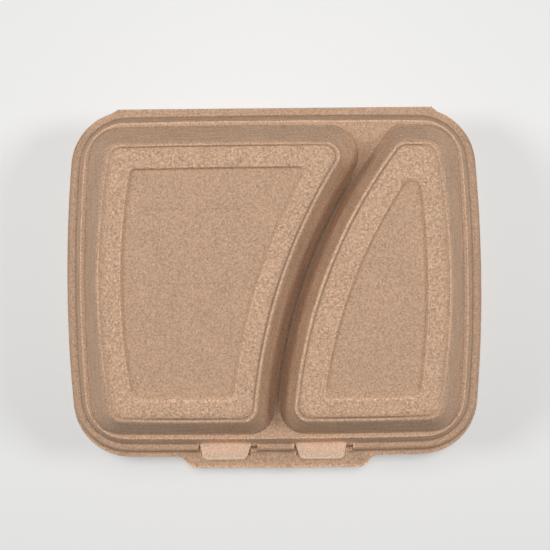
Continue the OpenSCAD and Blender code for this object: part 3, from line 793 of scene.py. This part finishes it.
tongues = [tongue("latch_tongue_left", TONGUE_X[0]), tongue("latch_tongue_right", TONGUE_X[1])]
print("tongues:", [t.name for t in tongues])

# %% [markdown]
# Lid and base hang together by a fold: a line along the back edge where the sheet is
# pressed thin. It wraps round the hinge's axis while the box is closed and lies flat
# when it is open, so it is one narrow strip that follows the base at one edge, the
# lid at the other, and turns between them.

# %% The fold along the hinge
def fold_strip(name, x_from, x_to):
    axis_y = hinge["pos_m"][1] / MM - MIDDLE_Y - FOLD_ROOM
    turn = np.linspace(-math.pi / 2, math.pi / 2, 11)
    outer = [(axis_y - 0.22 + 0.62 * math.cos(a), 0.95 * math.sin(a)) for a in turn]
    inner = [(axis_y - 0.22 + 0.27 * math.cos(a), 0.6 * math.sin(a)) for a in turn[::-1]]
    profile = outer + inner
    xs = np.linspace(x_from, x_to, 95)
    points = [(x, y, z) for x in xs for y, z in profile]
    n = len(profile)
    faces = [(k * n + i, (k + 1) * n + i, (k + 1) * n + (i + 1) % n, k * n + (i + 1) % n)
             for k in range(len(xs) - 1) for i in range(n)]
    last = (len(xs) - 1) * n
    faces += [tuple(range(n)), tuple(last + i for i in reversed(range(n)))]
    uvs = [tuple((points[i][0] * MM, points[i][2] * MM) for i in f) for f in faces]
    return mesh_of(name, points, faces, uvs)


hinge_fold = fold_strip("hinge_fold", -90.2, 92.6)
print("fold points:", len(hinge_fold.data.vertices))

# %% [markdown]
# Foamed sheet is matt and grainy: burst bubbles leave small light and dark pits, and
# larger clouds show where the foam is denser. A picture could carry this, but a
# procedure stays sharp at every distance. The grain is a node group, so that every
# finish of the box uses the same one with its own size and strength.

# %% Grain of the foam
def shader_group(name, inputs, outputs):
    group = bpy.data.node_groups.new(name, "ShaderNodeTree")
    for label, kind, value in inputs:
        socket = group.interface.new_socket(label, in_out="INPUT", socket_type=kind)
        if value is not None:
            socket.default_value = value
    for label in outputs:
        group.interface.new_socket(label, in_out="OUTPUT", socket_type="NodeSocketFloat")
    return group, group.nodes.new("NodeGroupInput"), group.nodes.new("NodeGroupOutput")


def speckle(tree, vector, size, detail, rough=0.6):
    """Noise about zero, whose grains are about size metres across."""
    noise = add(tree, "ShaderNodeTexNoise")
    noise.inputs["Detail"].default_value = detail
    noise.inputs["Roughness"].default_value = rough
    tree.links.new(vector, noise.inputs["Vector"])
    tree.links.new(math_node(tree, "DIVIDE", 1.0, size), noise.inputs["Scale"])
    return math_node(tree, "SUBTRACT", noise.outputs[0], 0.5)


def foam_grain_group():
    group, start, out = shader_group("foam_grain", [
        ("Place", "NodeSocketVector", None), ("Grain size", "NodeSocketFloat", 0.0016),
        ("Cloud size", "NodeSocketFloat", 0.02), ("Grain", "NodeSocketFloat", 0.5),
        ("Clouds", "NodeSocketFloat", 0.12), ("Sparkle", "NodeSocketFloat", 0.3),
    ], ["Tone", "Height"])
    place, size = start.outputs["Place"], start.outputs["Grain size"]
    coarse = speckle(group, place, size, 2.0, 0.75)
    fine = speckle(group, place, math_node(group, "MULTIPLY", size, 0.42), 1.0)
    cloud = speckle(group, place, start.outputs["Cloud size"], 3.0)
    cells = add(group, "ShaderNodeTexVoronoi", feature="F1")
    group.links.new(place, cells.inputs["Vector"])
    group.links.new(math_node(group, "DIVIDE", 0.8, size), cells.inputs["Scale"])
    bubble = math_node(group, "SUBTRACT", 0.45, cells.outputs["Distance"])
    grain = math_node(group, "ADD", coarse, math_node(group, "MULTIPLY", fine, 0.7))
    grain = math_node(group, "ADD", grain, math_node(group, "MULTIPLY", bubble, 0.25))
    bright = math_node(group, "MULTIPLY", math_node(group, "SUBTRACT", grain, 0.2, True), start.outputs["Sparkle"])
    tone = math_node(group, "MULTIPLY", grain, start.outputs["Grain"])
    tone = math_node(group, "ADD", tone, math_node(group, "MULTIPLY", cloud, start.outputs["Clouds"]))
    tone = math_node(group, "ADD", tone, bright)
    group.links.new(math_node(group, "ADD", tone, 1.0), out.inputs["Tone"])
    group.links.new(grain, out.inputs["Height"])
    return group


foam_grain = foam_grain_group()
print("foam grain nodes:", len(foam_grain.nodes))

# %% [markdown]
# Where the mould drew the sheet down into a wall, its bubbles are pulled into long
# streaks that run round the compartment. They follow the form, so they are read from
# the map "sheet", squeezed across and stretched along, and only where the walls are.

# %% Streaks on the drawn walls
def stretch_streaks_group():
    group, start, out = shader_group("stretch_streaks", [
        ("Sheet map", "NodeSocketVector", None), ("Along", "NodeSocketFloat", 0.012),
        ("Across", "NodeSocketFloat", 0.0009), ("Mask", "NodeSocketFloat", 1.0),
        ("Strength", "NodeSocketFloat", 0.35),
    ], ["Tone", "Height"])
    split = add(group, "ShaderNodeSeparateXYZ")
    join = add(group, "ShaderNodeCombineXYZ")
    group.links.new(start.outputs["Sheet map"], split.inputs[0])
    group.links.new(math_node(group, "DIVIDE", split.outputs[0], start.outputs["Along"]), join.inputs[0])
    group.links.new(math_node(group, "DIVIDE", split.outputs[1], start.outputs["Across"]), join.inputs[1])
    noise = add(group, "ShaderNodeTexNoise")
    noise.inputs["Scale"].default_value = 1.0
    noise.inputs["Detail"].default_value = 3.0
    noise.inputs["Distortion"].default_value = 0.15
    group.links.new(join.outputs[0], noise.inputs["Vector"])
    streak = math_node(group, "MULTIPLY", math_node(group, "SUBTRACT", noise.outputs[0], 0.5), start.outputs["Mask"])
    group.links.new(math_node(group, "ADD", math_node(group, "MULTIPLY", streak, start.outputs["Strength"]), 1.0),
                    out.inputs["Tone"])
    group.links.new(streak, out.inputs["Height"])
    return group


stretch_streaks = stretch_streaks_group()
print("streak nodes:", len(stretch_streaks.nodes))

# %% [markdown]
# The crests of the sheet get a painted highlight and its creases painted shade, for the sheen and
# shadow that the light gives them. Both masks were worked out from the bend of the mesh, and this
# group turns them into one tone. A little grain breaks the painted highlight up, so that it is not even.

# %% Painted highlight on crests and painted shade in creases
def edge_highlight_shade_group():
    group, start, out = shader_group("edge_highlight_shade", [
        ("Crest", "NodeSocketFloat", 0.0), ("Crease", "NodeSocketFloat", 0.0),
        ("Grain height", "NodeSocketFloat", 0.0), ("Paler", "NodeSocketFloat", 0.4),
        ("Darker", "NodeSocketFloat", 0.45),
    ], ["Tone"])
    painted_edge_light = math_node(group, "MULTIPLY", start.outputs["Crest"],
                     math_node(group, "ADD", 1.0, math_node(group, "MULTIPLY", start.outputs["Grain height"], 2.0)))
    up = math_node(group, "MULTIPLY", painted_edge_light, start.outputs["Paler"])
    down = math_node(group, "MULTIPLY", start.outputs["Crease"], start.outputs["Darker"])
    group.links.new(math_node(group, "ADD", 1.0, math_node(group, "SUBTRACT", up, down)), out.inputs["Tone"])
    return group


edge_highlight_shade = edge_highlight_shade_group()
print("edge highlight_and_shade nodes:", len(edge_highlight_shade.nodes))

# %% [markdown]
# The mould leaves two plain round-cornered fields in the large panel, a hair lower than
# the rest. The step is less than the grain's own height, so a bump that knows how far
# a place is from the field's outline shows it better than rows of points would.

# %% Fields pressed into the panel
def pressed_frame_group():
    group, start, out = shader_group("pressed_frame", [
        ("Place", "NodeSocketVector", None),
        ("Middle X", "NodeSocketFloat", 0.0), ("Middle Y", "NodeSocketFloat", 0.0),
        ("Half width", "NodeSocketFloat", 0.02), ("Half depth", "NodeSocketFloat", 0.02),
        ("Corner", "NodeSocketFloat", 0.0026), ("Line", "NodeSocketFloat", 0.0007),
    ], ["Inside"])
    split = add(group, "ShaderNodeSeparateXYZ")
    group.links.new(start.outputs["Place"], split.inputs[0])
    past = []
    for i, (middle, half) in enumerate((("Middle X", "Half width"), ("Middle Y", "Half depth"))):
        off = math_node(group, "ABSOLUTE", math_node(group, "SUBTRACT", split.outputs[i], start.outputs[middle]), 0)
        straight = math_node(group, "SUBTRACT", start.outputs[half], start.outputs["Corner"])
        past.append(math_node(group, "SUBTRACT", off, straight))
    outside = [math_node(group, "MAXIMUM", v, 0.0) for v in past]
    squares = [math_node(group, "MULTIPLY", v, v) for v in outside]
    far = math_node(group, "SQRT", math_node(group, "ADD", *squares), 0)
    inside = math_node(group, "MINIMUM", math_node(group, "MAXIMUM", past[0], past[1]), 0.0)
    away = math_node(group, "SUBTRACT", math_node(group, "ADD", far, inside), start.outputs["Corner"])
    near = math_node(group, "DIVIDE", away, start.outputs["Line"])
    group.links.new(math_node(group, "SUBTRACT", 0.5, near, True), out.inputs["Inside"])
    return group


pressed_frame = pressed_frame_group()
PANEL_FRAMES = [dict(Middle_X=-0.0423, Middle_Y=0.0297, Half_width=0.0211, Half_depth=0.0138),
                dict(Middle_X=-0.0434, Middle_Y=-0.0195, Half_width=0.0200, Half_depth=0.0225)]
print("frame nodes:", len(pressed_frame.nodes))

# %% [markdown]
# The finishes differ only a little: the lid and the base are the same kraft foam, the
# tongues are painted much paler, a painted highlight for the light that their leaning faces
# catch, and the thin fold is pressed denser and darker. Each material places the shared
# groups with its own values and keeps its own shader, and only the lid has the two sunk fields.

# %% The kraft foam finishes
def attribute(tree, name):
    node = add(tree, "ShaderNodeAttribute", attribute_type="GEOMETRY", attribute_name=name)
    return node.outputs["Fac"]


def placed(tree, group, links, **values):
    node = add(tree, "ShaderNodeGroup", node_tree=group)
    for name, socket in links.items():
        tree.links.new(socket, node.inputs[name])
    for name, value in values.items():
        node.inputs[name.replace("_", " ")].default_value = value
    return node


def kraft_foam(name, colour, dense, roughness, grain, streaks, bump, frames=()):
    """Foam of two close colours, mixed by its clouds, under the shared effects."""
    material = bpy.data.materials.new(name)
    material.use_nodes = True
    tree = material.node_tree
    shader = tree.nodes["Principled BSDF"]
    where = add(tree, "ShaderNodeTexCoord")
    grains = placed(tree, foam_grain, {"Place": where.outputs["Object"]}, **grain)
    sheet_map = add(tree, "ShaderNodeUVMap", uv_map="sheet")
    drawn = placed(tree, stretch_streaks,
                   {"Sheet map": sheet_map.outputs[0], "Mask": attribute(tree, "wall")}, **streaks)
    # Painted highlight on the crests and painted shade in the creases and the valley
    painted_edge_light = placed(tree, edge_highlight_shade, {"Crest": attribute(tree, "crest"), "Crease": attribute(tree, "crease"),
                                       "Grain height": grains.outputs["Height"]})
    tone = math_node(tree, "MULTIPLY", grains.outputs["Tone"], drawn.outputs["Tone"])
    tone = math_node(tree, "MULTIPLY", tone, painted_edge_light.outputs["Tone"])
    vein = speckle(tree, where.outputs["Object"], 0.0014, 2.0)
    vein = math_node(tree, "ADD", math_node(tree, "MULTIPLY", vein, 1.25), 0.11)
    vein = math_node(tree, "MULTIPLY", vein, attribute(tree, "ring"))
    tone = math_node(tree, "MULTIPLY", tone, math_node(tree, "ADD", vein, 1.0))
    hue = speckle(tree, where.outputs["Object"], 0.006, 3.0)
    blend = add(tree, "ShaderNodeMix", data_type="RGBA")
    tree.links.new(math_node(tree, "ADD", math_node(tree, "MULTIPLY", hue, 2.2), 0.5, True), blend.inputs["Factor"])
    blend.inputs["A"].default_value = (*colour, 1)
    blend.inputs["B"].default_value = (*dense, 1)
    shade = add(tree, "ShaderNodeVectorMath", operation="SCALE")
    tree.links.new(blend.outputs["Result"], shade.inputs[0])
    tree.links.new(tone, shade.inputs["Scale"])
    tree.links.new(shade.outputs[0], shader.inputs["Base Color"])
    rough = math_node(tree, "ADD", math_node(tree, "MULTIPLY", grains.outputs["Height"], -0.25), roughness, True)
    tree.links.new(rough, shader.inputs["Roughness"])
    height = math_node(tree, "ADD", math_node(tree, "MULTIPLY", grains.outputs["Height"], 0.00022),
                       math_node(tree, "MULTIPLY", drawn.outputs["Height"], 0.00030))
    crinkle = speckle(tree, where.outputs["Object"], 0.0028, 2.0)
    crinkle = math_node(tree, "MULTIPLY", crinkle, attribute(tree, "ring"))
    height = math_node(tree, "ADD", height, math_node(tree, "MULTIPLY", crinkle, 0.0009))
    for sizes in frames:
        pressed = placed(tree, pressed_frame, {"Place": where.outputs["Object"]}, **sizes)
        height = math_node(tree, "ADD", height, math_node(tree, "MULTIPLY", pressed.outputs["Inside"], -0.00035))
    relief = add(tree, "ShaderNodeBump")
    relief.inputs["Strength"].default_value = bump
    relief.inputs["Distance"].default_value = 1.0
    tree.links.new(height, relief.inputs["Height"])
    tree.links.new(relief.outputs[0], shader.inputs["Normal"])
    shader.inputs["Specular IOR Level"].default_value = 0.4
    return material


KRAFT, KRAFT_DENSE = (0.55, 0.345, 0.222), (0.525, 0.342, 0.226)
GRAIN = dict(Grain_size=0.0009, Cloud_size=0.012, Grain=1.35, Clouds=0.15, Sparkle=1.0)
STREAKS = dict(Along=0.022, Across=0.0010, Strength=0.95)
lid_finish = kraft_foam("kraft_foam_lid", KRAFT, KRAFT_DENSE, 0.66, GRAIN, STREAKS, 0.75, PANEL_FRAMES)
base_finish = kraft_foam("kraft_foam_base", (0.54, 0.338, 0.217), (0.515, 0.335, 0.221), 0.66, GRAIN, STREAKS, 0.75)
# The tongue colour is a painted highlight: a much paler copy of the kraft foam
pale_lit_tongue_finish = kraft_foam("kraft_foam_tongue_painted_highlight", (0.88, 0.66, 0.5), (0.86, 0.65, 0.5), 0.6,
                           dict(GRAIN, Grain=1.0, Clouds=0.08), dict(STREAKS, Strength=0.1), 0.5)
fold_finish = kraft_foam("pressed_foam_fold", (0.46, 0.295, 0.195), (0.43, 0.285, 0.19), 0.55,
                         GRAIN, STREAKS, 0.4)
print("finishes:", [m.name for m in (lid_finish, base_finish, pale_lit_tongue_finish, fold_finish)])

# %% [markdown]
# Now the relief runs on the two shells with their finishes, and the small pieces get
# theirs. Each result is a plain mesh again, so it can ride on a body of the frame.

# %% Finish the pieces
for piece, finish, seed in ((lid_foam, lid_finish, 3.0), (base_foam, base_finish, 8.0)):
    run_tree(piece, foam_relief, finish, Seed=seed)
    smooth(piece)
    print(piece.name, "triangles", sum(len(p.vertices) - 2 for p in piece.data.polygons))
for piece, finish in ((tongues[0], pale_lit_tongue_finish), (tongues[1], pale_lit_tongue_finish), (hinge_fold, fold_finish)):
    piece.data.materials.append(finish)
    mark_places(piece)
    smooth(piece)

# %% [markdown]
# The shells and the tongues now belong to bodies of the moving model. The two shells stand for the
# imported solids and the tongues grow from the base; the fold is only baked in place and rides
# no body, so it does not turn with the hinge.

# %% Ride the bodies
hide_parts("lid")
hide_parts("base")
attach(lid_foam, "lid")
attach(base_foam, "base")
for piece in tongues:
    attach(piece, "base")
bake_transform(hinge_fold)
print("pieces on the base:", [p.name for p in (base_foam, *tongues)], "on the lid:", lid_foam.name)

# %% [markdown]
# The camera looks straight down on the lid, as high above it as the spread of the
# walls in the photograph tells. One soft lamp stands a little towards the hinge, which
# darkens the walls that face the other way, and a weaker one on each side draws the
# edges of the rings. The floor is plain and pale.

# %% Camera, floor and light
FLOOR_HALF = 1.5
CAMERA_AT, CAMERA_ROLL, LENS = (0.0004, 0.0073, 0.486), -0.55, 50.6
PART_MIDDLE = (0, 0, 0.05)
SKY_SEEN, SKY_LIGHT = 0.82, 0.08


def camera():
    data = bpy.data.cameras.new("camera")
    data.lens, data.sensor_width = LENS, 36.0
    data.clip_start, data.clip_end = 0.01, 50
    cam = bpy.data.objects.new("camera", data)
    bpy.context.scene.collection.objects.link(cam)
    cam.location = CAMERA_AT
    cam.rotation_euler = (0, 0, math.radians(CAMERA_ROLL))
    bpy.context.scene.camera = cam
    return cam


camera()
floor_mesh = bpy.data.meshes.new("floor")
floor_corners = [(x * FLOOR_HALF, y * FLOOR_HALF, 0) for x, y in ((-1, -1), (1, -1), (1, 1), (-1, 1))]
floor_mesh.from_pydata(floor_corners, [], [(0, 1, 2, 3)])
floor = bpy.data.objects.new("floor", floor_mesh)
bpy.context.scene.collection.objects.link(floor)
floor_finish = bpy.data.materials.new("pale_floor")
floor_finish.use_nodes = True
floor_finish.node_tree.nodes["Principled BSDF"].inputs["Base Color"].default_value = (0.9, 0.9, 0.89, 1)
floor.data.materials.append(floor_finish)


def lamp(name, at, size, power):
    data = bpy.data.lights.new(name, "AREA")
    data.shape, data.size, data.energy = "DISK", size, power
    obj = bpy.data.objects.new(name, data)
    bpy.context.scene.collection.objects.link(obj)
    obj.location = at
    obj.rotation_euler = (Vector(PART_MIDDLE) - Vector(at)).to_track_quat("-Z", "Y").to_euler()


lamp("key", (0, 0.26, 1.5), 0.4, 11)
for name, side in (("side_left", -1), ("side_right", 1)):
    lamp(name, (1.25 * side, 0.12, 1.0), 0.5, 7.5)
world = bpy.data.worlds.new("room")
world.use_nodes = True
sky = world.node_tree.nodes["Background"]
sky.inputs["Color"].default_value = (1, 1, 1, 1)
seen = add(world.node_tree, "ShaderNodeLightPath").outputs["Is Camera Ray"]
seen = math_node(world.node_tree, "MULTIPLY", seen, SKY_SEEN)
world.node_tree.links.new(math_node(world.node_tree, "ADD", seen, SKY_LIGHT), sky.inputs["Strength"])
bpy.context.scene.world = world
bpy.context.scene.view_settings.view_transform = "Standard"
